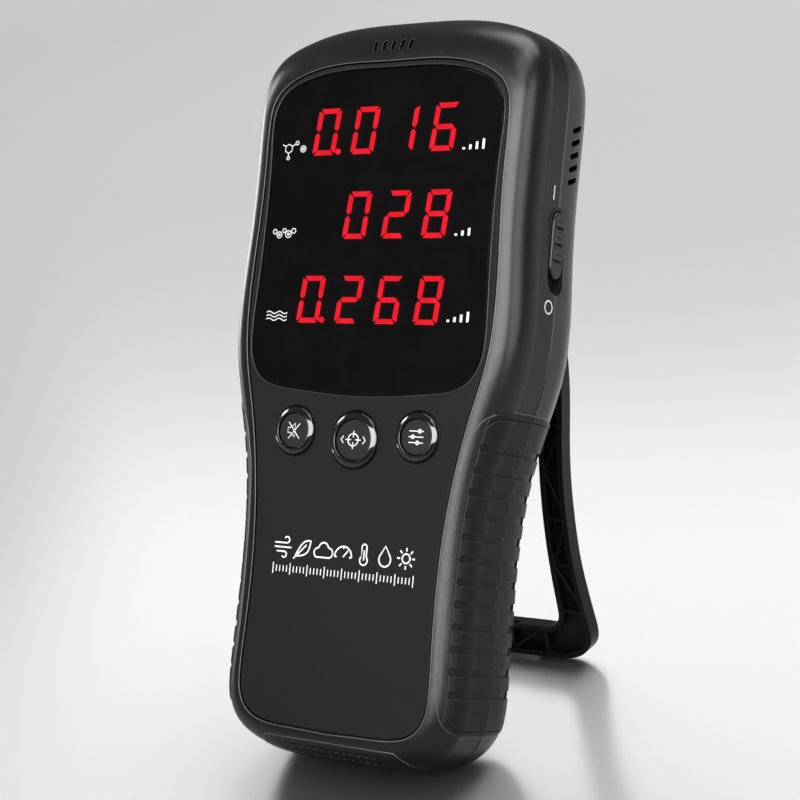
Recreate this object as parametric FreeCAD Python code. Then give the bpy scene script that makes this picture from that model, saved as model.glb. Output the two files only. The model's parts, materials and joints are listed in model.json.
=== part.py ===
import FreeCAD, Part
import math, os
from FreeCAD import Vector

# Hand-held air quality monitor standing on its own fold-out stand.
# Local frame while modelling: X = across the front, Y = depth behind the
# front plane, Z = up along the case.  The finished pieces are then leaned
# back onto the floor, so the file frame has +Z up and the front facing -Y.

# ---------------------------------------------------------------- dimensions
LEAN = 30.3            # degrees the case leans back in use
STAND_OPEN = 24.0      # degrees between the case back and the open stand
DEPTH = 33.0           # case depth
PART_D = 16.0          # parting plane between the two shells
CREASE_D = 9.1         # end of the front fillet
WALL = 2.2
PANEL_T = 1.6          # front panel thickness
GLASS_T = 1.5
REAR_INSET = 9.0       # how far the back face is drawn in
PAD_PROUD = 0.35       # rubber grips stand this far off the case
PAD_DEEP = 1.0
HINGE_D, HINGE_V = 30.8, 30.0
STAND_T0, STAND_T1 = 28.8, 33.2
LEG_W = 7.0
PIN_R, PIN_CLEAR = 1.2, 0.05
BUTTONS = {            # u, v, cap radius, ring outer radius
    "mute_button": (-17.5, -7.46, 4.25, 5.75),
    "calibrate_button": (0.0, -8.96, 4.95, 6.60),
    "function_button": (17.5, -7.46, 4.25, 5.75),
}
BUTTON_TRAVEL = 0.8
SWITCH_V, SWITCH_D = 38.75, 16.0
SWITCH_LEN, SWITCH_W = 19.5, 6.0
KNOB_LEN, KNOB_W, KNOB_TRAVEL = 15.9, 5.5, 2.8
DIG_H, DIG_W, DIG_PITCH, DIG_U0, DIG_T, DIG_SLANT = 11.5, 6.5, 11.3, -21.8, 1.18, 1.15
ROWS = {60.45: "0016", 39.65: " 028", 19.05: "0268"}

# outer case outline and front panel outline, matched point by point, from
# the top centre down the right side to the bottom centre
OUTER_SEAM = [
    (0.00, 95.22, 0.00, 82.45), (4.99, 95.22, 3.72, 82.49), (9.99, 95.13, 7.45, 82.53),
    (14.98, 94.87, 11.17, 82.50), (19.94, 94.32, 14.89, 82.32), (24.84, 93.36, 18.59, 81.90),
    (29.61, 91.88, 22.24, 81.16), (34.13, 89.77, 25.78, 80.02), (37.77, 86.42, 29.11, 78.37),
    (39.86, 81.90, 31.93, 75.96), (40.72, 76.99, 33.63, 72.68), (40.89, 72.00, 34.16, 69.00),
    (40.82, 65.59, 34.25, 62.78), (40.74, 59.19, 34.14, 56.55), (40.69, 52.78, 34.18, 50.33),
    (40.75, 46.37, 34.40, 44.11), (40.97, 39.97, 34.71, 37.89), (41.36, 33.58, 35.00, 31.67),
    (41.75, 27.18, 35.14, 25.46), (41.92, 20.78, 35.03, 19.24), (41.69, 14.38, 34.52, 13.02),
    (40.83, 8.03, 33.41, 6.86), (39.35, 1.80, 31.85, 0.80), (37.59, -4.36, 30.41, -5.18),
    (35.92, -10.55, 29.20, -11.19), (34.65, -16.83, 28.20, -17.29), (33.82, -23.18, 27.42, -23.46),
    (33.34, -29.57, 26.85, -29.66), (33.14, -35.97, 26.51, -35.88), (33.13, -42.38, 26.37, -42.11),
    (33.25, -48.78, 26.40, -48.33), (33.40, -55.19, 26.56, -54.55), (33.51, -61.59, 26.82, -60.78),
    (33.49, -68.00, 26.90, -67.00), (33.01, -72.84, 26.43, -70.65), (31.48, -77.43, 24.85, -73.95),
    (28.33, -81.09, 21.96, -76.17), (24.06, -83.39, 18.43, -77.22), (19.40, -84.77, 14.76, -77.59),
    (14.59, -85.48, 11.07, -77.69), (9.73, -85.67, 7.38, -77.76), (4.86, -85.59, 3.69, -77.89),
    (0.00, -85.50, 0.00, -77.98),
]
GLASS = [
    (0.00, 80.93), (5.13, 80.96), (10.25, 80.93), (15.37, 80.63), (20.43, 79.87), (25.35, 78.46),
    (29.79, 75.95), (32.47, 71.67), (32.99, 66.59), (32.71, 61.47), (32.48, 56.35), (32.40, 51.23),
    (32.40, 46.10), (32.46, 40.97), (32.57, 35.85), (32.75, 30.73), (32.98, 25.61), (33.21, 20.49),
    (33.23, 15.36), (32.52, 10.30), (29.99, 5.92), (25.52, 3.54), (20.46, 2.74), (15.35, 2.28),
    (10.24, 1.88), (5.12, 1.59), (0.00, 1.48),
]
# stand: outer half width against distance below the hinge
STAND_OUT = [(33.7, 0.0), (33.8, 11.6), (33.7, 18.0), (33.1, 25.6), (32.1, 33.4), (31.2, 41.0),
             (30.6, 50.0), (30.5, 59.0), (30.8, 68.0), (31.6, 75.0), (32.6, 81.4), (33.4, 86.2),
             (33.3, 89.7), (31.4, 92.5), (28.5, 94.1), (25.0, 94.8)]
STAND_IN = [(26.7, 0.0), (26.8, 11.6), (26.8, 18.0), (26.3, 25.6), (25.4, 33.4), (24.6, 41.0),
            (24.0, 50.0), (23.8, 59.0), (24.0, 68.0), (24.4, 75.0), (24.9, 81.0), (24.7, 84.0),
            (22.9, 86.0), (20.0, 86.5)]


# ------------------------------------------------------------------- helpers
def full(half):
    return list(half) + [(-u, v) for u, v in half[-2:0:-1]]


def offset(pts, g):
    if not g:
        return list(pts)
    n, out = len(pts), []
    gs = g if isinstance(g, list) else [g] * n
    for i, (u, v) in enumerate(pts):
        a, b = pts[i - 1], pts[(i + 1) % n]
        tu, tv = b[0] - a[0], b[1] - a[1]
        L = math.hypot(tu, tv)
        out.append((u - tv / L * gs[i], v + tu / L * gs[i]))
    return out


OUT = full([(a, b) for a, b, c, d in OUTER_SEAM])
SEAM = full([(c, d) for a, b, c, d in OUTER_SEAM])
GLS = full(GLASS)
NV = []
for _i in range(len(OUT)):
    _a, _b = OUT[_i - 1], OUT[(_i + 1) % len(OUT)]
    NV.append((_b[0] - _a[0]) / math.hypot(_b[0] - _a[0], _b[1] - _a[1]))


def params(pts):
    t = [0.0]
    for i in range(len(pts)):
        a, b = pts[i], pts[(i + 1) % len(pts)]
        t.append(t[-1] + math.hypot(a[0] - b[0], a[1] - b[1]))
    return [x / t[-1] for x in t]


T_CASE = params(OUT)


def loop(pts, d, ts=None):
    c = Part.BSplineCurve()
    c.interpolate(Points=[Vector(u, d, v) for u, v in pts], PeriodicFlag=True,
                  Parameters=ts or params(pts))
    return Part.Wire([c.toShape()])


def case_pts(d, grow=0.0):
    """Case outline at depth d, moved outwards by grow."""
    if d <= PART_D:
        k = -0.55 * max(0.0, min(1.0, (PART_D - d) / (PART_D - CREASE_D)))
        far = offset(OUT, k)
        near = offset(SEAM, 0.25)
        pts = []
        for i in range(len(OUT)):
            r = 7.8 + 4.6 * NV[i] ** 2
            s = max(0.0, min(1.0, d / r))
            f = math.sqrt(max(0.0, 1.0 - (1.0 - s) ** 2))
            pts.append((near[i][0] + (far[i][0] - near[i][0]) * f,
                        near[i][1] + (far[i][1] - near[i][1]) * f))
    else:
        s = max(0.0, (d - 20.0) / (DEPTH - 20.0))
        e = 1.0 - math.sqrt(max(0.0, 1.0 - min(1.0, s) ** 2))
        g = []
        for nv in NV:
            g.append(-0.15 * min(1.0, (d - PART_D) / 4.0)
                     - e * (REAR_INSET + (7.0 * nv * nv if nv < 0 else 0.0)))
        pts = offset(OUT, g)
    return offset(pts, grow)


def skin(groups):
    """Closed solid through groups of (points, depth); groups meet in creases."""
    wires = [[loop(p, d, T_CASE) for p, d in g] for g in groups]
    faces = []
    for g in wires:
        faces += Part.makeLoft(g, False, len(g) == 2).Faces
    for w in (wires[0][0], wires[-1][-1]):
        faces.append(Part.Face(w))
    sh = Part.makeShell(faces)
    sh.sewShape(0.001)
    so = Part.makeSolid(Part.Shell(sh.Faces) if sh.ShapeType != "Shell" else sh)
    if so.Volume < 0:
        so.reverse()
    return so


def lev(ds, grow=0.0, shift=0.0):
    return [(case_pts(d - shift, grow), d) for d in ds]


def prism(pts, d0, d1, ts=None):
    return Part.Face(loop(pts, d0, ts)).extrude(Vector(0, d1 - d0, 0))


def poly(pts, d0, d1):
    w = Part.makePolygon([Vector(u, d0, v) for u, v in pts + pts[:1]])
    return Part.Face(w).extrude(Vector(0, d1 - d0, 0))


def box(u0, u1, d0, d1, v0, v1):
    return Part.makeBox(u1 - u0, d1 - d0, v1 - v0, Vector(u0, d0, v0))


def cyl_d(u, v, r, d0, d1):
    return Part.makeCylinder(r, d1 - d0, Vector(u, d0, v), Vector(0, 1, 0))


def cyl_u(d, v, r, u0, u1):
    return Part.makeCylinder(r, u1 - u0, Vector(u0, d, v), Vector(1, 0, 0))


def rbox(u0, u1, d0, d1, v0, v1, r):
    b = box(u0, u1, d0, d1, v0, v1)
    es = [e for e in b.Edges if abs(e.Vertexes[0].Y - e.Vertexes[1].Y) > 1e-6]
    return b.makeFillet(r, es)


def pill_u(v, d, length, width, u0, u1):
    """Pill running along the case, extruded across it."""
    r, h = width / 2.0, (length - width) / 2.0
    s = box(u0, u1, d - r, d + r, v - h, v + h)
    return s.fuse([cyl_u(d, v + h, r, u0, u1), cyl_u(d, v - h, r, u0, u1)]).removeSplitter()


def capsule_d(u0, u1, v, w, d0, d1, tilt=0.0):
    """Horizontal capsule in the front view, extruded in depth."""
    r = w / 2.0
    s = box(u0, u1, d0, d1, v - r, v + r).fuse([cyl_d(u0, v, r, d0, d1), cyl_d(u1, v, r, d0, d1)])
    return s.removeSplitter()


def mirror(s):
    return s.mirror(Vector(0, 0, 0), Vector(1, 0, 0))


def group(shapes):
    return Part.makeCompound(shapes)


parts = {}

# -------------------------------------------------------------- case shells
front_solid = skin([lev([0, 0.12, 0.5, 1.2, 2.3, 3.8, 5.8, 7.6, CREASE_D]),
                    lev([CREASE_D, 10.8, 12.8, PART_D - 0.4]),
                    [(case_pts(PART_D - 0.4), PART_D - 0.4), (case_pts(PART_D, -0.4), PART_D)]])
rear_solid = skin([[(case_pts(PART_D, -0.4), PART_D + 0.02), (case_pts(PART_D + 0.4), PART_D + 0.4)],
                   lev([PART_D + 0.4, 18.5, 21.0, 23.5, 26.0, 28.3, 30.2, 31.6, 32.5, DEPTH])])
front_cav = skin([lev([3.25, 4.5, 6.5, 9.0, 12.0, 16.5], -2.1, 1.5)])
rear_cav = skin([lev([15.5, 18.0, 21.0, 24.0, 26.3], -2.2, -1.2)])


def case_skin(grow):
    return skin([lev([1.0, 2.0, 3.4, 5.2, 7.2, CREASE_D], grow),
                 [(case_pts(CREASE_D, grow), CREASE_D), (case_pts(PART_D, grow), PART_D)],
                 lev([PART_D, 18.5, 21.0, 24.0, 26.0, 28.2], grow)])


skin_out, skin_mid, skin_in = case_skin(PAD_PROUD), case_skin(-0.45), case_skin(-PAD_DEEP)


def zone(grow):
    line = [(30.1, -16.0), (30.9, -12.5), (31.75, -9.0), (32.7, -5.9), (34.4, -3.1), (36.6, -1.3), (39.0, -0.6)]
    low = [(32.6, -74.6), (30.9, -72.9), (29.7, -70.0), (29.1, -65.0), (28.65, -55.0), (28.75, -42.0), (29.1, -30.0), (29.6, -21.5)]
    pts = low + line
    q = offset([(60.0, -74.9)] + pts + [(60.0, -0.4)], grow)[1:-1]
    c = Part.BSplineCurve()
    c.interpolate([Vector(u, 1.6, v) for u, v in q])
    a, b = q[0], q[-1]
    v0, v1 = -74.9 - grow, -0.4 + grow
    w = Part.Wire([Part.makeLine(Vector(60, 1.6, v1), Vector(60, 1.6, v0)),
                   Part.makeLine(Vector(60, 1.6, v0), Vector(a[0], 1.6, a[1])),
                   c.toShape(),
                   Part.makeLine(Vector(b[0], 1.6, b[1]), Vector(60, 1.6, v1))])
    return Part.Face(w).extrude(Vector(0, 25.6 + grow, 0))


pad = skin_out.common(zone(0.0)).cut(skin_in)
grooves = []
for k in range(12):
    v = -9.0 - 5.12 * k
    base = 31.75 if v > -10 else 29.1
    # front end of each groove follows the front edge of the grip
    edge = [(31.75, -9.0), (30.2, -15.5), (29.6, -21.5), (29.1, -30.0), (28.75, -42.0), (28.65, -55.0), (29.1, -65.4)]
    for (ua, va), (ub, vb) in zip(edge, edge[1:]):
        if va >= v >= vb:
            base = ua + (ub - ua) * (v - va) / (vb - va)
    grooves.append(capsule_d(base + 2.65, 60, v, 1.8, 0.5, 30.0))
groove_tool = group(grooves)
pad_cut = pad
for g in grooves:
    pad_cut = pad_cut.cut(g.cut(skin_mid))
# fine line just inside the edge of the grip
line_tool = zone(-0.85).cut(zone(-1.15)).cut(case_skin(0.02))
pad_cut = pad_cut.cut(line_tool)
parts["grip_pad_right"] = pad_cut
parts["grip_pad_left"] = mirror(pad_cut)
pocket = zone(0.1).cut(case_skin(-PAD_DEEP - 0.06))

# bottom sound and air grille, a separate insert on the lower front fillet
def gzone(g, d1):
    return poly([(-18.3 - g, -80.2 + g), (18.3 + g, -80.2 + g), (22.3 + g, -84.2 + g * .4),
                 (22.3 + g, -90.0), (-22.3 - g, -90.0), (-22.3 - g, -84.2 + g * .4)], 0.6, d1)


gr_out = skin([lev([0.3, 0.8, 1.6, 3.0, 4.6, 6.6, CREASE_D], 0.15)])
gr_in = skin([lev([0.2, 0.8, 1.6, 3.0, 4.6, 6.6, CREASE_D + 0.2], -1.2)])
gr_in2 = skin([lev([0.2, 0.8, 1.6, 3.0, 4.6, 6.6, CREASE_D + 0.2], -1.26)])
grille = gr_out.common(gzone(0.0, 6.6)).cut(gr_in)
holes = []
HDIR = Vector(0, 0.75, 0.66)
for n, v0, d0 in ((13, -81.75, 1.9), (14, -83.35, 4.3)):
    for k in range(n):
        u = (k - (n - 1) / 2.0) * 2.1
        holes.append(Part.makeCylinder(0.5, 7.0, Vector(u, d0, v0) - HDIR * 2.2, HDIR))
hole_tool = group(holes)
parts["bottom_grille"] = grille.cut(hole_tool)
gr_pocket = gzone(0.08, 6.68).cut(gr_in2)

# screw posts and screws
CASE_SCREWS = [(26.0, 79.5), (-26.0, 79.5), (19.0, -73.2), (-19.0, -73.2)]
PCB_SCREWS = [(30.2, 68.0), (-30.2, 68.0), (21.0, -57.0), (-21.0, -57.0)]

front = front_solid.cut(front_cav)
front = front.fuse([cyl_d(u, v, 3.4, 2.4, 15.9) for u, v in CASE_SCREWS]
                   + [cyl_d(u, v, 2.4, 2.4, 9.45) for u, v in PCB_SCREWS])
front = front.cut([cyl_d(u, v, 1.3, 6.0, 20.0) for u, v in CASE_SCREWS]
                  + [cyl_d(u, v, 1.0, 4.2, 12.0) for u, v in PCB_SCREWS])
front = front.cut(prism(SEAM, -2.0, PANEL_T + 0.05, T_CASE))
front = front.cut(rbox(-26.0, 26.0, -1, 4.0, 14.8, 76.2, 2.0))
front = front.cut([cyl_d(u, v, rc + 0.95, -1, 4.0) for u, v, rc, ro in BUTTONS.values()])

rear = rear_solid.cut(rear_cav)
rear = rear.fuse([cyl_d(u, v, 4.2, 16.05, 28.5) for u, v in CASE_SCREWS])
rear = rear.cut(rbox(-17.5, 17.5, 25.5, 30.8, -52.5, 12.0, 3.0))
rear = rear.cut([cyl_d(u, v, 1.5, 15.0, 40.0) for u, v in CASE_SCREWS]
                + [cyl_d(u, v, 2.9, 25.0, 40.0) for u, v in CASE_SCREWS])

# grips, grille and their pockets
front = front.cut([pocket, mirror(pocket), gr_pocket])
rear = rear.cut([pocket, mirror(pocket)])
front = front.cut(hole_tool)

# top air slots
slots = []
for k in range(5):
    u = (k - 2) * 2.54
    s = box(u - 0.5, u + 0.5, -2, 8, 85.6, 87.4)
    s = s.fuse([cyl_d(u, 85.6, 0.5, -2, 8), cyl_d(u, 87.4, 0.5, -2, 8)]).removeSplitter()
    s.rotate(Vector(u, 0, 86.5), Vector(0, 1, 0), 3.0 * (k - 2))
    slots.append(s)
front = front.cut(slots)

# side air slots on the rear shell, both sides
side = []
for v in (69.0, 65.9, 62.8, 59.7, 56.6):
    s = box(30, 60, 19.6, 23.4, v - 0.65, v + 0.65).fuse(
        [cyl_u(19.6, v, 0.65, 30, 60), cyl_u(23.4, v, 0.65, 30, 60)]).removeSplitter()
    s.rotate(Vector(0, 21.5, v), Vector(1, 0, 0), 22.0)
    side += [s, mirror(s)]
rear = rear.cut(side)

# power switch opening across the parting line, right side
sw_hole = pill_u(SWITCH_V, SWITCH_D, SWITCH_LEN + 1.3, SWITCH_W + 1.3, 37.0, 60.0)
front, rear = front.cut(sw_hole), rear.cut(sw_hole)
# charging socket opening, left side
USB_V, USB_D = 36.0, 16.0
usb_hole = pill_u(USB_V, USB_D, 9.5, 3.8, -60.0, -33.0)
front, rear = front.cut(usb_hole), rear.cut(usb_hole)


# stand nest and hinge lugs in the back
def stand_pts(tab, g=0.0):
    return [(u + g, HINGE_V - s) for u, s in tab]


def spline(pts, d):
    c = Part.BSplineCurve()
    c.interpolate([Vector(u, d, v) for u, v in pts])
    return c.toShape()


def side_curve(tab, g, d):
    """Open curve down the right side, offset outwards by g."""
    p = [(u, HINGE_V - s) for u, s in tab]
    out = []
    for i in range(len(p)):
        a, b = p[max(0, i - 1)], p[min(len(p) - 1, i + 1)]
        tu, tv = b[0] - a[0], b[1] - a[1]
        L = math.hypot(tu, tv)
        out.append((p[i][0] - tv / L * g, p[i][1] + tu / L * g))
    return out


def frame_face(go, gi, d, top=0.0, gtop=0.0):
    """U shape of the stand; go and gi move the outer and inner edges outwards."""
    o = side_curve(STAND_OUT, go, d)
    i = side_curve(STAND_IN, gi, d)
    o[0] = (o[0][0], HINGE_V + top)
    i[0] = (i[0][0], HINGE_V + top)
    ol = [(-u, v) for u, v in o]
    il = [(-u, v) for u, v in i]
    e = [spline(o, d),
         Part.makeLine(Vector(o[-1][0], d, o[-1][1]), Vector(ol[-1][0], d, ol[-1][1])),
         spline(ol[::-1], d),
         Part.makeLine(Vector(ol[0][0], d, ol[0][1]), Vector(il[0][0], d, il[0][1])),
         spline(il, d),
         Part.makeLine(Vector(il[-1][0], d, il[-1][1]), Vector(i[-1][0], d, i[-1][1])),
         spline(i[::-1], d),
         Part.makeLine(Vector(i[0][0], d, i[0][1]), Vector(o[0][0], d, o[0][1]))]
    return Part.Face(Part.Wire(e))


inner_pts = side_curve(STAND_IN, -0.5, 0)
il = [(-u, v) for u, v in inner_pts]
D0 = 28.3
w = Part.Wire([Part.makeLine(Vector(60, D0, HINGE_V + 0.2), Vector(60, D0, -67.7)),
               Part.makeLine(Vector(60, D0, -67.7), Vector(-60, D0, -67.7)),
               Part.makeLine(Vector(-60, D0, -67.7), Vector(-60, D0, HINGE_V + 0.2)),
               Part.makeLine(Vector(-60, D0, HINGE_V + 0.2), Vector(il[0][0], D0, HINGE_V + 0.2)),
               spline([(il[0][0], HINGE_V + 0.2)] + il[1:], D0),
               Part.makeLine(Vector(il[-1][0], D0, il[-1][1]), Vector(-il[-1][0], D0, il[-1][1])),
               spline(([(il[0][0] * -1, HINGE_V + 0.2)] + inner_pts[1:])[::-1], D0),
               Part.makeLine(Vector(-il[0][0], D0, HINGE_V + 0.2), Vector(60, D0, HINGE_V + 0.2))])
nest = Part.Face(w).extrude(Vector(0, 12, 0))
barrel_room = [cyl_u(HINGE_D, HINGE_V, 2.9, 26.5, 60), cyl_u(HINGE_D, HINGE_V, 2.9, -60, -26.5)]
barrel_room += [box(26.5, 60, HINGE_D, 45, HINGE_V - 1, HINGE_V + 2.9),
                box(-60, -26.5, HINGE_D, 45, HINGE_V - 1, HINGE_V + 2.9)]
room_r = barrel_room[0].fuse(barrel_room[2]).removeSplitter()
room_l = barrel_room[1].fuse(barrel_room[3]).removeSplitter()
rear = rear.cut(nest.fuse([room_r, room_l]))
pin_holes = [cyl_u(HINGE_D, HINGE_V, PIN_R + 0.02, 19.9, 27), cyl_u(HINGE_D, HINGE_V, PIN_R + 0.02, -27, -19.9)]
rear = rear.cut(pin_holes)
# finger scoop below the stand bar
scoop = Part.makeCylinder(9.0, 26.0, Vector(-13, 40.0, -66.5), Vector(1, 0, 0))
rear = rear.cut(scoop)

# ------------------------------------------------------- front panel and glass
panel = skin([[(offset(SEAM, -0.60), 0.0), (offset(SEAM, -0.32), 0.28)],
              [(offset(SEAM, -0.32), 0.28), (offset(SEAM, -0.32), PANEL_T)]])
panel = panel.cut(prism(GLS, -1, 3))
panel = panel.cut([cyl_d(u, v, ro + 0.22, -1, 3) for u, v, rc, ro in BUTTONS.values()])
panel = panel.cut([Part.makeCone(ro + 0.22 + 0.45, ro + 0.2, 0.45, Vector(u, -0.01, v), Vector(0, 1, 0))
                   for u, v, rc, ro in BUTTONS.values()])
parts["front_panel"] = panel

TG = params(GLS)


def skin_g(groups, ts):
    wires = [[loop(p, d, ts) for p, d in g] for g in groups]
    faces = []
    for g in wires:
        faces += Part.makeLoft(g, False, True).Faces
    for w_ in (wires[0][0], wires[-1][-1]):
        faces.append(Part.Face(w_))
    sh = Part.makeShell(faces)
    sh.sewShape(0.001)
    so = Part.makeSolid(sh)
    if so.Volume < 0:
        so.reverse()
    return so


parts["display_window"] = skin_g([[(offset(GLS, -0.55), -0.12), (offset(GLS, -0.12), 0.22)],
                                  [(offset(GLS, -0.12), 0.22), (offset(GLS, -0.12), GLASS_T)]], TG)

# ------------------------------------------------------------------- buttons
rings = []
for name, (u, v, rc, ro) in BUTTONS.items():
    cap = cyl_d(u, v, rc, -0.45, 1.9)
    es = [e for e in cap.Edges if abs(e.BoundBox.YMax + 0.45) < 1e-3]
    cap = cap.makeFillet(0.3, es)
    cap = cap.fuse([cyl_d(u, v, rc + 0.6, 1.85, 2.6), cyl_d(u, v, 2.0, 2.5, 4.4)]).removeSplitter()
    parts[name] = cap
    # bezel ring: rounded crown
    rm, hw = (rc + 0.15 + ro) / 2.0, (ro - rc - 0.15) / 2.0
    prof = Part.BSplineCurve()
    prof.interpolate([Vector(rm + hw * math.cos(a), 0.0 - 0.95 * math.sin(a) ** 0.9 if a not in (0, math.pi) else 0.0, 0)
                      for a in [math.pi * i / 10.0 for i in range(11)]])
    a0, a1 = Vector(rc + 0.15, 0, 0), Vector(ro, 0, 0)
    b1, b0 = Vector(ro, PANEL_T, 0), Vector(rc + 0.15, PANEL_T, 0)
    wr = Part.Wire([Part.Edge(prof.toShape()), Part.makeLine(a0, b0), Part.makeLine(b0, b1), Part.makeLine(b1, a1)])
    f = Part.Face(wr)
    ring = f.revolve(Vector(0, 0, 0), Vector(0, 1, 0), 360)
    ring.translate(Vector(u, 0, v))
    rings.append(ring)
parts["button_rings"] = group(rings)
mem = rbox(-25.0, 25.0, 4.6, 5.15, -18.5, 1.0, 2.0)
mem = mem.cut([cyl_d(u, v, 2.6, 4, 6) for u, v, rc, ro in BUTTONS.values()])
parts["keypad_membrane"] = mem
tact = []
for u, v, rc, ro in BUTTONS.values():
    t = box(u - 3, u + 3, 5.95, 9.45, v - 3, v + 3).fuse(cyl_d(u, v, 1.7, 5.3, 6.0))
    tact.append(t.removeSplitter())
parts["tact_switches"] = group(tact)

# ------------------------------------------------------------------- display
mods = []
for v0 in ROWS:
    m = rbox(-25.0, 25.0, 2.05, 9.4, v0 - 2.6, v0 + DIG_H + 2.6, 0.6)
    mods.append(m)
parts["led_modules"] = group(mods)

SEGS = {"0": "abcdef", "1": "bc", "2": "abged", "6": "afgedc", "8": "abcdefg"}
lit = []
T, W, H = DIG_T, DIG_W, DIG_H
gap = 0.22


def seg_pts(s):
    h = T / 2.0
    x0, x1 = h, W - h
    if s in "agd":
        y = {"a": H - h, "g": H / 2.0, "d": h}[s]
        a, b = x0 + gap, x1 - gap
        if s == "g":
            p = [(a, y), (a + h, y + h), (b - h, y + h), (b, y), (b - h, y - h), (a + h, y - h)]
        elif s == "a":
            p = [(a - h * .4, y + h), (b + h * .4, y + h), (b + h * .1, y + h * .5), (b - h * .9, y - h), (a + h * .9, y - h), (a - h * .1, y + h * .5)]
        else:
            p = [(a - h * .4, y - h), (b + h * .4, y - h), (b + h * .1, y - h * .5), (b - h * .9, y + h), (a + h * .9, y + h), (a - h * .1, y - h * .5)]
    else:
        x = x0 if s in "fe" else x1
        lo, hi = (H / 2.0, H - h) if s in "fb" else (h, H / 2.0)
        a, b = lo + gap, hi - gap
        sg = -1 if s in "fe" else 1
        if s in "fb":
            p = [(x, a), (x + h, a + h), (x + h, b - (h * .9 if sg < 0 else -h * .4)), (x + (0 if sg < 0 else h * .5), b + (0 if sg < 0 else h * .4)),
                 (x - h, b - (h * .9 if sg > 0 else -h * .4)), (x - h, a + h)]
        else:
            p = [(x, b), (x + h, b - h), (x + h, a + (h * .9 if sg < 0 else -h * .4)), (x + (0 if sg < 0 else h * .5), a - (0 if sg < 0 else h * .4)),
                 (x - h, a + (h * .9 if sg > 0 else -h * .4)), (x - h, b - h)]
    return [(px + DIG_SLANT * py / H, py) for px, py in p]


for v0, txt in ROWS.items():
    for k, ch in enumerate(txt):
        for s in SEGS.get(ch, ""):
            pts = [(DIG_U0 + k * DIG_PITCH + px, v0 + py) for px, py in seg_pts(s)]
            lit.append(poly(pts, 1.75, 2.02))
    if txt[0] == "0":
        lit.append(cyl_d(DIG_U0 + W + 1.1, v0 + 0.75, 0.72, 1.75, 2.02))
parts["led_segments"] = group(lit)

# ---------------------------------------------------------- boards and parts
pcb = poly([(-33, 73.0), (33, 73.0), (33, 50.0), (30, 49.5), (30, 28.0), (33, 27.5), (33, 10.0), (25, -6),
            (24.5, -62), (-24.5, -62), (-25, -6), (-33, 10)], 9.5, 11.1)
pcb = pcb.cut([cyl_d(u, v, 1.15, 9, 12) for u, v in PCB_SCREWS])
parts["main_board"] = pcb
chips = [box(-6, 6, 11.15, 12.0, 14, 26), box(10, 15, 11.15, 12.4, -4, 1), box(-15, -8, 11.15, 12.6, -6, 0),
         box(18, 21.2, 11.15, 12.0, 12, 17), box(-1.5, 1.5, 11.15, 12.1, 0, 6), box(-29.5, -26.5, 11.15, 13.0, -2, 4)]
parts["controller_chips"] = group(chips)


def screw(u, v, d_head, head_r, head_h, r, length):
    """Pan-head screw driven forwards from depth d_head."""
    h = cyl_d(u, v, head_r, d_head, d_head + head_h)
    h = h.makeFillet(head_h * 0.45, [e for e in h.Edges if abs(e.BoundBox.YMin - d_head - head_h) < 1e-3 and e.Length > head_r * 5])
    s = h.fuse(cyl_d(u, v, r, d_head - length, d_head + 0.05)).removeSplitter()
    a = box(u - head_r * .62, u + head_r * .62, d_head + head_h * .45, d_head + head_h + 1, v - .35, v + .35)
    b = box(u - .35, u + .35, d_head + head_h * .45, d_head + head_h + 1, v - head_r * .62, v + head_r * .62)
    return s.cut(a.fuse(b))


parts["case_screws"] = group([screw(u, v, 25.05, 2.6, 1.9, 1.25, 17.5) for u, v in CASE_SCREWS])
parts["board_screws"] = group([screw(u, v, 11.15, 1.9, 1.3, 0.95, 6.2) for u, v in PCB_SCREWS])

# dust sensor with its little fan
DS = (-10.0, 27.0, 34.0, 72.0)
FAN_U, FAN_V = 14.5, 46.5
hs = rbox(DS[0], DS[1], 12.6, 23.4, DS[2], DS[3], 1.5)
hs = hs.cut(rbox(DS[0] + 1.5, DS[1] - 1.5, 14.0, 24.0, 58.5, DS[3] - 1.5, 1.0))
hs = hs.cut(cyl_d(FAN_U, FAN_V, 10.2, 14.2, 24.0))
hs = hs.cut(box(FAN_U + 2, DS[1] + 1, 15.0, 21.0, 53.0, 60.0))
hs = hs.fuse(cyl_d(FAN_U, FAN_V, 0.95, 13.9, 21.2))
parts["dust_sensor_housing"] = hs
cv = rbox(DS[0], DS[1], 23.45, 24.4, DS[2], DS[3], 1.5)
cv = cv.cut([cyl_d(FAN_U, FAN_V, 3.0 + 0, 23, 25)] + [box(DS[0] + 5, DS[0] + 13, 23, 25, y, y + 1.6) for y in (38, 42, 46)])
parts["dust_sensor_cover"] = cv
hub = cyl_d(FAN_U, FAN_V, 3.6, 15.0, 22.4).cut(cyl_d(FAN_U, FAN_V, 1.0, 14.0, 21.6))
blades = []
for k in range(7):
    b = box(FAN_U + 2.9, FAN_U + 9.6, 15.4, 21.6, FAN_V - 0.35, FAN_V + 0.35)
    b.rotate(Vector(FAN_U + 6, 18.5, FAN_V), Vector(1, 0, 0), 32)
    b = b.common(cyl_d(FAN_U, FAN_V, 9.7, 15.2, 22.2))
    b.rotate(Vector(FAN_U, 0, FAN_V), Vector(0, 1, 0), 360.0 / 7 * k)
    blades.append(b)
parts["sensor_fan"] = hub.fuse(blades).removeSplitter()

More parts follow.
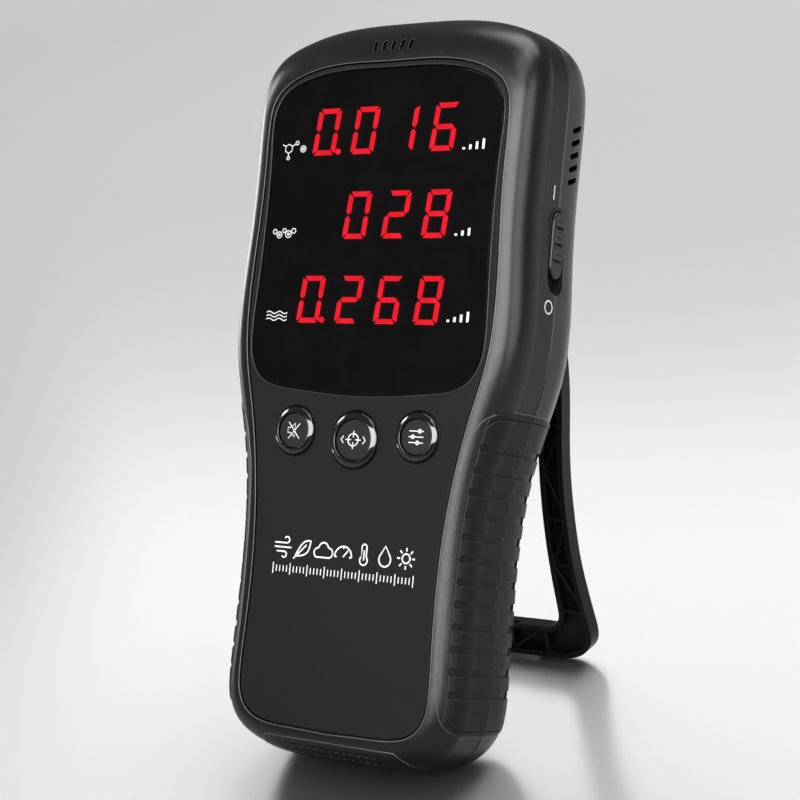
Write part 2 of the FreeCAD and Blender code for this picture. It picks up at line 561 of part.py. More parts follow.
fs = cyl_d(-22.0, 55.0, 7.8, 11.15, 17.8).fuse(cyl_d(-22.0, 55.0, 8.2, 11.15, 12.4)).removeSplitter()
fs = fs.cut([cyl_d(-22 + 3.4 * math.cos(a), 55 + 3.4 * math.sin(a), 0.8, 16.6, 19) for a in [k * math.pi / 3 for k in range(6)]])
parts["formaldehyde_sensor"] = fs
vs = cyl_d(-20.0, 22.0, 4.6, 11.15, 16.4)
vs = vs.cut(cyl_d(-20.0, 22.0, 2.6, 15.6, 17))
parts["voc_sensor"] = vs
bz = cyl_d(21.0, 4.5, 4.6, 11.15, 15.6).cut(cyl_d(21.0, 4.5, 0.9, 14, 17))
parts["buzzer"] = bz

bat = rbox(-17.0, 17.0, 13.7, 22.8, -63.0, -15.5, 2.5)
parts["battery_pack"] = bat
tray = rbox(-19.0, 19.0, 14.6, 25.4, -65.0, -13.5, 3.0).cut(rbox(-17.4, 17.4, 12.0, 23.3, -63.4, -15.1, 2.6))
tray = tray.cut([box(-6, 6, 10, 30, -16, -12), box(-8, 8, 23, 30, -50, -28)])
parts["battery_tray"] = tray


def wire_tube(pts, r):
    c = Part.BSplineCurve()
    c.interpolate([Vector(*p) for p in pts])
    e = c.toShape()
    w_ = Part.Wire([e])
    t = e.tangentAt(e.FirstParameter)
    circ = Part.Wire([Part.makeCircle(r, Vector(*pts[0]), t)])
    return w_.makePipeShell([circ], True, True)


parts["battery_leads"] = group([wire_tube([(u, 18.0, -15.0), (u * 1.0, 18.0, -12.5), (u * 0.9, 15.2, -9.5), (u * 0.8, 13.2, -8.0), (u * .8, 11.3, -7.6)], 0.6)
                                for u in (-2.2, 2.2)])

# charging socket
sock = pill_u(USB_V, USB_D, 8.94, 3.26, -40.3, -33.2)
sock = sock.cut(pill_u(USB_V, USB_D, 8.34, 2.56, -41.0, -34.2))
sock = sock.fuse(box(-39.6, -34.0, USB_D - 0.35, USB_D + 0.35, USB_V - 3.3, USB_V + 3.3)).removeSplitter()
parts["charging_socket"] = sock
parts["charging_board"] = box(-38.0, -24.5, 17.75, 18.9, 28.0, 44.0)

# power switch
bez = pill_u(SWITCH_V, SWITCH_D, SWITCH_LEN + 1.1, SWITCH_W + 1.1, 37.9, 40.75)
bez = bez.cut(pill_u(SWITCH_V, SWITCH_D, SWITCH_LEN, SWITCH_W, 38.9, 42.0))
bez = bez.cut(box(37.0, 40.0, SWITCH_D - 1.3, SWITCH_D + 1.3, 33.0, 43.0))
parts["power_switch_bezel"] = bez
KV = SWITCH_V + SWITCH_LEN / 2.0 - 0.35 - KNOB_LEN / 2.0
kn = pill_u(KV, SWITCH_D, KNOB_LEN, KNOB_W, 39.0, 41.35)
es = [e for e in kn.Edges if abs(e.BoundBox.XMin - 41.35) < 1e-3 and abs(e.BoundBox.XMax - 41.35) < 1e-3]
kn = kn.makeFillet(0.45, es)
for gv in (4.0, 0.1, -3.8):
    kn = kn.cut(box(40.55, 42, SWITCH_D - 2.1, SWITCH_D + 2.1, KV + gv - 0.35, KV + gv + 0.35))
    kn = kn.fuse([box(41.1, 41.62, SWITCH_D - 1.9, SWITCH_D + 1.9, KV + gv + dv - 0.22, KV + gv + dv + 0.22) for dv in (1.1, 1.9)])
kn = kn.fuse(box(36.7, 39.2, SWITCH_D - 1.0, SWITCH_D + 1.0, KV - 1.6, KV + 1.6)).removeSplitter()
parts["power_switch_knob"] = kn
parts["power_switch_body"] = box(30.8, 36.5, 13.2, 18.8, 32.0, 46.0)

# filter felt behind the right air slots
parts["intake_filter"] = box(33.6, 35.2, 18.2, 25.0, 54.0, 71.5)

# --------------------------------------------------------------------- stand
plate = frame_face(0, 0, STAND_T0).extrude(Vector(0, STAND_T1 - STAND_T0, 0))
chan = frame_face(-1.3, 1.3, STAND_T0 - 1, top=-4.5).extrude(Vector(0, 1 + 3.0, 0))
stand = plate.cut(chan)
ribs = []
ss = [7.0, 19.5, 32.0, 44.5, 57.0, 69.5, 82.0]


def half_mid(s):
    def at(tab):
        for (ua, sa), (ub, sb) in zip(tab, tab[1:]):
            if sa <= s <= sb:
                return ua + (ub - ua) * (s - sa) / (sb - sa)
        return tab[-1][0]
    return at(STAND_IN) + 0.6, at(STAND_OUT) - 0.6


def bar(u0, v0, u1, v1, t, d0, d1):
    L = math.hypot(u1 - u0, v1 - v0)
    b = Part.makeBox(L, d1 - d0, t, Vector(0, d0, -t / 2.0))
    b.rotate(Vector(0, 0, 0), Vector(0, 1, 0), -math.degrees(math.atan2(v1 - v0, u1 - u0)))
    b.translate(Vector(u0, 0, v0))
    return b


RD0, RD1 = 29.6, 31.75
BAR0, BAR1 = 87.1, 93.5
for i, s in enumerate(ss):
    a, b = half_mid(s)
    ribs.append(bar(a, HINGE_V - s, b, HINGE_V - s, 0.9, RD0, RD1))
    if i + 1 < len(ss):
        a2, b2 = half_mid(ss[i + 1])
        if i % 2:
            ribs.append(bar(a, HINGE_V - s, b2, HINGE_V - ss[i + 1], 0.9, RD0, RD1))
        else:
            ribs.append(bar(b, HINGE_V - s, a2, HINGE_V - ss[i + 1], 0.9, RD0, RD1))
ribs += [mirror(r) for r in ribs]
for k in range(-2, 3):
    ribs.append(bar(10 * k, HINGE_V - BAR0 + 0.6, 10 * k, HINGE_V - BAR1 - 0.6, 0.9, RD0, RD1))
for k in range(-2, 2):
    up, lo = HINGE_V - BAR0 + 0.4, HINGE_V - BAR1 - 0.4
    ribs.append(bar(10 * k, up if k % 2 == 0 else lo, 10 * k + 10, lo if k % 2 == 0 else up, 0.9, RD0, RD1))
rib_room = frame_face(-0.7, 0.7, RD0 - 0.5, top=-4.0).extrude(Vector(0, 3.2, 0))
web = ribs[0].fuse(ribs[1:]).common(rib_room)
barrels = [cyl_u(HINGE_D, HINGE_V, 2.4, 26.9, 33.5), cyl_u(HINGE_D, HINGE_V, 2.4, -33.5, -26.9)]
# shallow finger notch in the front lip of the bar
stand = stand.cut(rbox(-12.5, 12.5, 27, 30.6, HINGE_V - 86.9, HINGE_V - 82.0, 0.8))
stand = stand.fuse(barrels)
stand = stand.cut([cyl_u(HINGE_D, HINGE_V, PIN_R + PIN_CLEAR, 26.0, 32.6), cyl_u(HINGE_D, HINGE_V, PIN_R + PIN_CLEAR, -32.6, -26.0)])
stand = stand.fuse(web.Solids)
parts["kickstand"] = stand
parts["stand_hinge_pins"] = group([cyl_u(HINGE_D, HINGE_V, PIN_R, 20.0, 32.4), cyl_u(HINGE_D, HINGE_V, PIN_R, -32.4, -20.0)])
foot = box(-17.0, 17.0, 29.1, 32.9, HINGE_V - 98.0, HINGE_V - 94.85)
parts["stand_foot_pad"] = foot

parts["front_shell"] = front
parts["rear_shell"] = rear

# ------------------------------------------- open the stand, lean, set down
moving = ("kickstand", "stand_foot_pad")
axis0 = Vector(0, HINGE_D, HINGE_V)
for n in moving:
    parts[n].rotate(axis0, Vector(1, 0, 0), STAND_OPEN)

ca, sa = math.cos(math.radians(LEAN)), math.sin(math.radians(LEAN))
z_low = min(v * ca - d * sa for d in [20 + 0.1 * k for k in range(131)] for u, v in case_pts(min(d, DEPTH)))
Z0 = z_low + 0.3
lean = FreeCAD.Rotation(Vector(1, 0, 0), -LEAN)
# floor plane as a cutting block in the local frame
block = Part.makeBox(400, 400, 100, Vector(-200, -200, Z0 - 100))
block.rotate(Vector(0, 0, 0), Vector(1, 0, 0), LEAN)
for n in ("rear_shell", "stand_foot_pad"):
    parts[n] = parts[n].cut(block)

ys = []
for n in ("front_shell", "rear_shell", "kickstand", "stand_foot_pad", "front_panel", "button_rings", "display_window",
          "function_button", "calibrate_button"):
    pts, _ = parts[n].tessellate(0.05)
    ys += [p.z * sa + p.y * ca for p in pts]
Y0 = (min(ys) + max(ys)) / 2.0

os.makedirs("parts", exist_ok=True)
for n, s in parts.items():
    s = s.copy()
    s.rotate(Vector(0, 0, 0), Vector(1, 0, 0), -LEAN)
    s.translate(Vector(0, -Y0, -Z0))
    s.exportStep("parts/%s.step" % n)
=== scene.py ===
import bpy, bmesh, math, json
from mathutils import Vector, Matrix
from mathutils.bvhtree import BVHTree


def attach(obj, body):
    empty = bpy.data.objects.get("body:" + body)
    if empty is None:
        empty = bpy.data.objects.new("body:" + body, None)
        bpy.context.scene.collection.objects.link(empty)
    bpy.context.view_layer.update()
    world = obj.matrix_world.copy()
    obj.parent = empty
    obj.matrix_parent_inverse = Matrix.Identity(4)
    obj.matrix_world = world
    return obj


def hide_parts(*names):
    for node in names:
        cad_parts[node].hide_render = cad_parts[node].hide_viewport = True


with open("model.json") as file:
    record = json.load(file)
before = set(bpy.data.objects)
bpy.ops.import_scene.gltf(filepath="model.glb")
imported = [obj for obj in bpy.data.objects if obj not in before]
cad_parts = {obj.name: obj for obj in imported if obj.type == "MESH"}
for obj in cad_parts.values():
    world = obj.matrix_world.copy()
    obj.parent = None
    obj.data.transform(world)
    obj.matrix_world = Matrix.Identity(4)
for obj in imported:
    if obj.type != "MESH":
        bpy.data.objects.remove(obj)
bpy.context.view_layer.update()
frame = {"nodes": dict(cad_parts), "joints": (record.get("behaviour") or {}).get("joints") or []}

N = frame["nodes"]
MM = 0.001

# ---------------------------------------------------------------- case frame
# u to the right, d into the case from the front plane, v up along the case
LEAN = math.radians(30.3)
CA, SA = math.cos(LEAN), math.sin(LEAN)
HINGE = [j for j in frame["joints"] if j["name"] == "stand_hinge"][0]["pos_m"]
Y0 = (30.0 * SA + 30.8 * CA) * MM - HINGE[1]
Z0 = (30.0 * CA - 30.8 * SA) * MM - HINGE[2]
AU, AD, AV = Vector((1, 0, 0)), Vector((0, CA, -SA)), Vector((0, SA, CA))


def P(u, d, v):
    return Vector((u * MM, (v * SA + d * CA) * MM - Y0, (v * CA - d * SA) * MM - Z0))


FRONT = Matrix(((AU.x, AV.x, -AD.x, 0), (AU.y, AV.y, -AD.y, 0), (AU.z, AV.z, -AD.z, 0), (0, 0, 0, 1)))


# ----------------------------------------------------------------- materials
def new_mat(name):
    m = bpy.data.materials.new(name)
    m.use_nodes = True
    nt = m.node_tree
    nt.nodes.clear()
    out = nt.nodes.new("ShaderNodeOutputMaterial")
    bsdf = nt.nodes.new("ShaderNodeBsdfPrincipled")
    nt.links.new(bsdf.outputs[0], out.inputs[0])
    return m, nt, bsdf


def noise(nt, co, scale, detail=3.0, rough=0.5, dist=0.0):
    n = nt.nodes.new("ShaderNodeTexNoise")
    n.inputs["Scale"].default_value = scale
    n.inputs["Detail"].default_value = detail
    n.inputs["Roughness"].default_value = rough
    n.inputs["Distortion"].default_value = dist
    nt.links.new(co, n.inputs["Vector"])
    return n.outputs["Fac"]


def ramp(nt, fac, stops):
    r = nt.nodes.new("ShaderNodeValToRGB")
    e = r.color_ramp.elements
    while len(e) < len(stops):
        e.new(0.5)
    for k, (p, c) in enumerate(stops):
        e[k].position = p
        e[k].color = (c, c, c, 1) if not isinstance(c, tuple) else (c + (1,))[:4]
    nt.links.new(fac, r.inputs[0])
    return r.outputs[0]


def math_node(nt, op, a, b=None):
    n = nt.nodes.new("ShaderNodeMath")
    n.operation = op
    for i, x in enumerate((a, b)):
        if x is None:
            continue
        if isinstance(x, (int, float)):
            n.inputs[i].default_value = x
        else:
            nt.links.new(x, n.inputs[i])
    return n.outputs[0]


def mix_col(nt, fac, a, b, blend="MIX"):
    n = nt.nodes.new("ShaderNodeMix")
    n.data_type = "RGBA"
    n.blend_type = blend
    for i, x in ((0, fac), (6, a), (7, b)):
        if isinstance(x, (int, float)):
            n.inputs[i].default_value = x
        elif isinstance(x, tuple):
            n.inputs[i].default_value = (x + (1,))[:4]
        else:
            nt.links.new(x, n.inputs[i])
    return n.outputs[2]


def surface(name, col, rough, grain=0.25, depth=0.012, var=0.10, rough_var=0.06, spec=0.5,
            coat=0.0, coat_rough=0.1, metallic=0.0, wear_and_highlight=0.0, wear_and_highlight_col=None, wear_and_highlight_r=0.35, sheen=0.0,
            mid=1.6, mid_depth=0.0):
    """Moulded surface: spark-eroded grain, uneven gloss, cloudy colour and lighter edges, partly rubbed wear and partly
    painted highlight. Sizes in mm.
    """
    m, nt, b = new_mat(name)
    tc = nt.nodes.new("ShaderNodeTexCoord").outputs["Object"]
    fine = noise(nt, tc, 1.0 / (grain * MM), 4.0, 0.6)
    cloud = noise(nt, tc, 38.0, 4.0, 0.55, 0.4)
    smudge = noise(nt, tc, 130.0, 5.0, 0.6, 1.2)
    lo = tuple(c * (1 - var) for c in col)
    hi = tuple(min(1.0, c * (1 + var)) for c in col)
    base = mix_col(nt, ramp(nt, cloud, [(0.3, 0.0), (0.7, 1.0)]), lo, hi)
    speck = ramp(nt, fine, [(0.30, 0.86), (0.70, 1.12)])
    base = mix_col(nt, 1.0, base, speck, "MULTIPLY")
    # painted highlight: rounded edges are lightened in colour, partly for rubbed wear and partly for the light that the
    # edges catch
    if wear_and_highlight > 0:
        bev = nt.nodes.new("ShaderNodeBevel")
        bev.samples = 6
        bev.inputs["Radius"].default_value = wear_and_highlight_r * MM
        geo = nt.nodes.new("ShaderNodeNewGeometry")
        dot = nt.nodes.new("ShaderNodeVectorMath")
        dot.operation = "DOT_PRODUCT"
        nt.links.new(bev.outputs[0], dot.inputs[0])
        nt.links.new(geo.outputs["Normal"], dot.inputs[1])
        edge = ramp(nt, dot.outputs["Value"], [(0.86, 1.0), (0.995, 0.0)])
        edge = math_node(nt, "MULTIPLY", edge, ramp(nt, smudge, [(0.30, 0.35), (0.62, 1.0)]))
        edge = math_node(nt, "MULTIPLY", edge, wear_and_highlight)
        base = mix_col(nt, edge, base, wear_and_highlight_col or tuple(min(1.0, c * 3.2 + 0.02) for c in col))
    nt.links.new(base, b.inputs["Base Color"])
    r = ramp(nt, smudge, [(0.25, max(0.02, rough - rough_var)), (0.75, min(1.0, rough + rough_var))])
    nt.links.new(r, b.inputs["Roughness"])
    bump = nt.nodes.new("ShaderNodeBump")
    bump.inputs["Strength"].default_value = 0.7
    bump.inputs["Distance"].default_value = depth * MM
    if wear_and_highlight > 0:
        nt.links.new(bev.outputs[0], bump.inputs["Normal"])
    h = fine
    if mid_depth:
        h2 = noise(nt, tc, 1.0 / (mid * MM), 2.0, 0.5)
        h = math_node(nt, "ADD", fine, math_node(nt, "MULTIPLY", h2, mid_depth))
    nt.links.new(h, bump.inputs["Height"])
    nt.links.new(bump.outputs[0], b.inputs["Normal"])
    b.inputs["Metallic"].default_value = metallic
    b.inputs["Specular IOR Level"].default_value = spec
    b.inputs["Coat Weight"].default_value = coat
    b.inputs["Coat Roughness"].default_value = coat_rough
    if sheen:
        b.inputs["Sheen Weight"].default_value = sheen
    return m


M = {}
M["case"] = surface("case_plastic", (0.0060, 0.0061, 0.0063), 0.30, grain=0.22, depth=0.008, wear_and_highlight=0.75, wear_and_highlight_col=(0.085, 0.085, 0.088), rough_var=0.03, wear_and_highlight_r=0.32, spec=0.58)
M["panel"] = surface("panel_plastic", (0.0066, 0.0066, 0.0067), 0.60, grain=0.16, depth=0.008, var=0.05, rough_var=0.04, wear_and_highlight=0.6, wear_and_highlight_r=0.30, spec=0.22)
M["grip"] = surface("grip_rubber", (0.0050, 0.0051, 0.0053), 0.42, grain=0.30, depth=0.014, var=0.10, mid_depth=0.4, wear_and_highlight=0.85, wear_and_highlight_col=(0.060, 0.060, 0.062), wear_and_highlight_r=0.32, spec=0.34)
M["stand"] = surface("stand_plastic", (0.0035, 0.0036, 0.0038), 0.42, grain=0.25, depth=0.012, wear_and_highlight=0.35, wear_and_highlight_r=0.3, spec=0.30)
M["button"] = surface("button_plastic", (0.0080, 0.0080, 0.0082), 0.55, grain=0.14, depth=0.006, var=0.05, wear_and_highlight=0.4, wear_and_highlight_r=0.25, spec=0.35)
M["ring"] = surface("gloss_ring", (0.002, 0.002, 0.0022), 0.09, grain=1.2, depth=0.001, var=0.1, rough_var=0.03, spec=0.9, coat=1.0, coat_rough=0.04)
M["module"] = surface("module_plastic", (0.004, 0.004, 0.0042), 0.55, grain=0.3, depth=0.01)
M["recess"] = surface("recess_plastic", (0.006, 0.006, 0.006), 0.5, grain=0.25, depth=0.01)
M["foot"] = surface("foot_rubber", (0.16, 0.16, 0.165), 0.6, grain=0.4, depth=0.02)
M["steel"] = surface("steel", (0.55, 0.56, 0.57), 0.32, grain=0.5, depth=0.004, metallic=1.0, var=0.08)
M["pcb"] = surface("board", (0.012, 0.085, 0.03), 0.35, grain=0.4, depth=0.01)
M["chip"] = surface("chip_plastic", (0.012, 0.012, 0.012), 0.5, grain=0.2, depth=0.01)
M["foil"] = surface("cell_foil", (0.5, 0.52, 0.55), 0.35, grain=0.8, depth=0.05, metallic=0.8)
M["inner"] = surface("inner_plastic", (0.06, 0.06, 0.064), 0.5, grain=0.3, depth=0.01)
M["alu"] = surface("sensor_metal", (0.6, 0.61, 0.62), 0.35, grain=0.4, depth=0.006, metallic=1.0)
M["silicone"] = surface("silicone", (0.10, 0.10, 0.11), 0.55, grain=0.4, depth=0.01)
M["felt"] = surface("felt", (0.05, 0.05, 0.05), 0.95, grain=0.5, depth=0.12, sheen=0.4)
M["switch"] = surface("switch_plastic", (0.05, 0.05, 0.05), 0.5, grain=0.3, depth=0.01)

# smoked display glass: dark, smooth, lets the digits through
g, nt, b = new_mat("smoked_glass")
tc = nt.nodes.new("ShaderNodeTexCoord").outputs["Object"]
sm = noise(nt, tc, 60.0, 5.0, 0.6, 1.5)
fine = noise(nt, tc, 900.0, 3.0, 0.5)
nt.links.new(mix_col(nt, ramp(nt, sm, [(0.3, 0.0), (0.7, 1.0)]), (0.0030, 0.0030, 0.0033), (0.0044, 0.0043, 0.0046)), b.inputs["Base Color"])
nt.links.new(ramp(nt, sm, [(0.25, 0.10), (0.75, 0.16)]), b.inputs["Roughness"])
bp = nt.nodes.new("ShaderNodeBump")
bp.inputs["Strength"].default_value = 0.25
bp.inputs["Distance"].default_value = 0.004 * MM
nt.links.new(fine, bp.inputs["Height"])
nt.links.new(bp.outputs[0], b.inputs["Normal"])
b.inputs["Alpha"].default_value = 0.78
b.inputs["Specular IOR Level"].default_value = 0.22
M["glass"] = g

# lit digit segments: red, with a faint noisy variation in tone
g, nt, b = new_mat("led_red")
tc = nt.nodes.new("ShaderNodeTexCoord").outputs["Object"]
nz = noise(nt, tc, 420.0, 2.0, 0.5)
nt.links.new(mix_col(nt, ramp(nt, nz, [(0.3, 0.0), (0.7, 1.0)]), (0.80, 0.004, 0.016), (0.95, 0.010, 0.028)), b.inputs["Emission Color"])
nt.links.new(mix_col(nt, nz, (0.35, 0.0, 0.005), (0.5, 0.005, 0.01)), b.inputs["Base Color"])
b.inputs["Emission Strength"].default_value = 21.0
b.inputs["Roughness"].default_value = 0.4
M["led"] = g

# painted highlight: a light material for thin lines that stand for the light caught by edges, with a dimmer copy for
# the glass edge
M["edge_highlight"] = surface("painted_edge_highlight", (0.085, 0.085, 0.087), 0.30, grain=0.3, depth=0.003, var=0.15, spec=0.9)
M["edge_highlight_dim"] = surface("painted_edge_highlight_dim", (0.030, 0.030, 0.031), 0.30, grain=0.3, depth=0.003, var=0.15, spec=0.7)

# printed white ink
M["ink"] = surface("white_ink", (0.82, 0.82, 0.83), 0.55, grain=0.15, depth=0.004, var=0.03)

ASSIGN = {
    "front_shell": "case", "rear_shell": "case", "bottom_grille": "case", "power_switch_knob": "case",
    "front_panel": "panel", "display_window": "glass", "led_modules": "module", "led_segments": "led",
    "grip_pad_left": "grip", "grip_pad_right": "grip", "mute_button": "button", "calibrate_button": "button",
    "function_button": "button", "button_rings": "ring", "keypad_membrane": "silicone", "tact_switches": "switch",
    "main_board": "pcb", "charging_board": "pcb", "controller_chips": "chip", "buzzer": "chip", "case_screws": "steel",
    "board_screws": "steel", "stand_hinge_pins": "steel", "charging_socket": "steel", "battery_pack": "foil",
    "battery_tray": "inner", "sensor_fan": "inner", "formaldehyde_sensor": "inner", "battery_leads": "silicone",
    "dust_sensor_housing": "alu", "dust_sensor_cover": "alu", "voc_sensor": "alu", "power_switch_body": "alu",
    "power_switch_bezel": "recess", "intake_filter": "felt", "kickstand": "stand", "stand_foot_pad": "foot",
}
for n, o in N.items():
    o.data.materials.clear()
    o.data.materials.append(M[ASSIGN[n]])


# ------------------------------------------------------------ printed marks
def strokes(name, lines, width, matrix, body, mat="ink", thick=0.05, res=2):
    """Raised flattened round strokes along poly lines given in mm: printed ink by default; with the highlight material
    they are painted highlight lines.
    """
    cu = bpy.data.curves.new(name, "CURVE")
    cu.dimensions = "3D"
    cu.bevel_depth = width / 2.0
    cu.bevel_resolution = res
    cu.use_fill_caps = True
    for pts, closed in lines:
        sp = cu.splines.new("POLY")
        sp.points.add(len(pts) - 1)
        for p, q in zip(sp.points, pts):
            p.co = (q[0], q[1], 0.0, 1.0)
        sp.use_cyclic_u = closed
    tmp = bpy.data.objects.new(name + "_c", cu)
    bpy.context.scene.collection.objects.link(tmp)
    dg = bpy.context.evaluated_depsgraph_get()
    me = bpy.data.meshes.new_from_object(tmp.evaluated_get(dg))
    bpy.data.objects.remove(tmp)
    bpy.data.curves.remove(cu)
    me.transform(Matrix.Diagonal((1, 1, thick / width, 1)))
    me.transform(matrix)
    me.name = name
    for p in me.polygons:
        p.use_smooth = True
    o = bpy.data.objects.new(name, me)
    bpy.context.scene.collection.objects.link(o)
    me.materials.clear()
    me.materials.append(M[mat])
    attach(o, body)
    return o


def front_at(u, v, d):
    m = FRONT.copy()
    m.translation = P(u, d, v)
    return m @ Matrix.Diagonal((MM, MM, MM, 1))


def circle(cx, cy, r, n=28, a0=0.0, a1=360.0):
    full = abs(a1 - a0) >= 360
    k = n if full else n + 1
    pts = [(cx + r * math.cos(math.radians(a0 + (a1 - a0) * i / n)), cy + r * math.sin(math.radians(a0 + (a1 - a0) * i / n))) for i in range(k)]
    return pts, full


def seg(*p):
    return list(p), False


def loop(*p):
    return list(p), True


def dot(cx, cy, r):
    """A filled dot as a fine spiral of rings."""
    out = []
    rr = r - 0.09
    while rr > 0.05:
        out.append(circle(cx, cy, rr, 16))
        rr -= 0.14
    out.append(seg((cx - 0.05, cy), (cx + 0.05, cy)))
    return out


# glossy bezels round the buttons: a flat cone falling outwards with softened rims
def lathe(name, centres, profiles, mat, body, n=96):
    bm = bmesh.new()
    for (u, v), prof in zip(centres, profiles):
        rows = []
        for r, d in prof:
            rows.append([bm.verts.new(P(u + r * math.cos(2 * math.pi * k / n), d, v + r * math.sin(2 * math.pi * k / n))) for k in range(n)])
        m_ = len(rows)
        for i in range(m_):
            for k in range(n):
                j, l = (i + 1) % m_, (k + 1) % n
                bm.faces.new((rows[i][k], rows[i][l], rows[j][l], rows[j][k])).smooth = True
    bmesh.ops.recalc_face_normals(bm, faces=bm.faces)
    me = bpy.data.meshes.new(name)
    bm.to_mesh(me)
    bm.free()
    me.materials.append(M[mat])
    o = bpy.data.objects.new(name, me)
    bpy.context.scene.collection.objects.link(o)
    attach(o, body)
    return o


def bezel_profile(r0, r1):
    p = [(r0, 0.9), (r0, -0.55)]
    p += [(r0 + 0.16 - 0.16 * math.cos(a), -0.62 - 0.20 * math.sin(a)) for a in [math.pi / 2 * i / 5.0 for i in range(6)]]
    p += [(r0 + 0.24, -0.80), (r1 - 0.30, -0.46)]
    p += [(r1 - 0.22, -0.41), (r1 - 0.12, -0.32), (r1 - 0.05, -0.20), (r1 - 0.01, -0.05), (r1, 0.1), (r1, 0.9)]
    return p


bezels = lathe("button_bezels", [(-17.5, -7.46), (0.0, -8.96), (17.5, -7.46)],
               [bezel_profile(4.40, 5.75), bezel_profile(5.10, 6.60), bezel_profile(4.40, 5.75)], "ring", "case")
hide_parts("button_rings")

# thin lines of painted highlight, light strokes standing for the light that the edges catch: round the panel opening
# and round the display glass, right half from the top down
SEAM_HALF = [
    (0.00, 82.45), (3.72, 82.49), (7.45, 82.53), (11.17, 82.50), (14.89, 82.32), (18.59, 81.90), (22.24, 81.16),
    (25.78, 80.02), (29.11, 78.37), (31.93, 75.96), (33.63, 72.68), (34.16, 69.00), (34.25, 62.78), (34.14, 56.55),
    (34.18, 50.33), (34.40, 44.11), (34.71, 37.89), (35.00, 31.67), (35.14, 25.46), (35.03, 19.24), (34.52, 13.02),
    (33.41, 6.86), (31.85, 0.80), (30.41, -5.18), (29.20, -11.19), (28.20, -17.29), (27.42, -23.46), (26.85, -29.66),
    (26.51, -35.88), (26.37, -42.11), (26.40, -48.33), (26.56, -54.55), (26.82, -60.78), (26.90, -67.00),
    (26.43, -70.65), (24.85, -73.95), (21.96, -76.17), (18.43, -77.22), (14.76, -77.59), (11.07, -77.69),
    (7.38, -77.76), (3.69, -77.89), (0.00, -77.98),
]
GLASS_HALF = [
    (0.00, 80.93), (5.13, 80.96), (10.25, 80.93), (15.37, 80.63), (20.43, 79.87), (25.35, 78.46), (29.79, 75.95),
    (32.47, 71.67), (32.99, 66.59), (32.71, 61.47), (32.48, 56.35), (32.40, 51.23), (32.40, 46.10), (32.46, 40.97),
    (32.57, 35.85), (32.75, 30.73), (32.98, 25.61), (33.21, 20.49), (33.23, 15.36), (32.52, 10.30), (29.99, 5.92),
    (25.52, 3.54), (20.46, 2.74), (15.35, 2.28), (10.24, 1.88), (5.12, 1.59), (0.00, 1.48),
]


def smooth_loop(half, grow, n=4):
    """Closed outline through the half and its mirror, Catmull-Rom smoothed, moved outwards by grow."""
    p = list(half) + [(-u, v) for u, v in half[-2:0:-1]]
    k, out = len(p), []
    for i in range(k):
        a, b_, c, d = (p[(i + j - 1) % k] for j in range(4))
        for q in range(n):
            t = q / float(n)
            out.append(tuple(0.5 * (2 * b_[x] + (c[x] - a[x]) * t + (2 * a[x] - 5 * b_[x] + 4 * c[x] - d[x]) * t * t
                                    + (3 * b_[x] - a[x] - 3 * c[x] + d[x]) * t ** 3) for x in (0, 1)))
    k, res = len(out), []
    for i in range(k):
        (x0, y0), (x1, y1) = out[i - 1], out[(i + 1) % k]
        L = math.hypot(x1 - x0, y1 - y0) or 1.0
        res.append((out[i][0] - (y1 - y0) / L * grow, out[i][1] + (x1 - x0) / L * grow))
    return res


# painted highlight lines round the panel opening and round the glass
strokes("panel_highlight_line", [(smooth_loop(SEAM_HALF, 0.10), True)], 0.26, front_at(0, 0, -0.01), "case", mat="edge_highlight", thick=0.10)
strokes("glass_highlight_line", [(smooth_loop(GLASS_HALF, 0.18), True)], 0.20, front_at(0, 0, -0.03), "case", mat="edge_highlight_dim", thick=0.08)

GLASS_D = -0.135
ink = 0.05
# mute
strokes("mark_mute", [loop((-1.75, -0.62), (-0.95, -0.62), (0.35, -1.65), (0.35, 1.65), (-0.95, 0.62), (-1.75, 0.62)),
                      seg((-1.65, 1.95), (1.75, -1.95)), seg((1.75, 1.75), (-1.45, -2.05))], 0.24, front_at(-17.5, -7.46, -0.455), "mute_key")
# calibrate: crosshair between two chevrons
strokes("mark_calibrate", [circle(0, 0, 1.45), seg((0, 2.15), (0, 0.6)), seg((0, -2.15), (0, -0.6)), seg((-2.15, 0), (-0.6, 0)), seg((2.15, 0), (0.6, 0)),
                           seg((-2.75, 0.85), (-3.45, 0), (-2.75, -0.85)), seg((2.75, 0.85), (3.45, 0), (2.75, -0.85))], 0.30,
        front_at(0, -8.96, -0.455), "calibrate_key")
# function: three setting sliders
strokes("mark_function", [seg((-2.0, 1.35), (2.0, 1.35)), seg((-2.0, 0), (2.0, 0)), seg((-2.0, -1.35), (2.0, -1.35)),
                          circle(0.9, 1.35, 0.42, 14), circle(-0.9, 0, 0.42, 14), circle(0.45, -1.35, 0.42, 14)], 0.27, front_at(17.5, -7.46, -0.455), "function_key")

# row marks on the glass: ring molecule, particles, vapour
hexa = [(1.15 * math.cos(math.radians(30 + 60 * k)), 1.15 * math.sin(math.radians(30 + 60 * k))) for k in range(6)]
strokes("mark_row_top", [(hexa, True), seg((1.0, 0.58), (2.0, 1.15)), circle(2.45, 1.35, 0.45, 14), seg((-1.0, 0.58), (-1.9, 1.1)),
                         seg((0, -1.15), (0, -1.95)), circle(0, -2.35, 0.4, 14), circle(4.4, -0.2, 0.75, 18), circle(4.4, -0.2, 0.25, 12)],
        0.25, front_at(-27.6, 61.9, GLASS_D), "case")
lines = []
for x, y, r in ((-2.9, 0.3, 0.55), (-1.5, -0.5, 0.75), (-0.1, 0.55, 0.5), (1.2, -0.35, 0.85), (2.75, 0.45, 0.6)):
    lines.append(circle(x, y, r, 18))
lines += dot(-1.5, -0.5, 0.3) + dot(1.2, -0.35, 0.35)
strokes("mark_row_middle", lines, 0.24, front_at(-26.4, 40.9, GLASS_D), "case")
lines = []
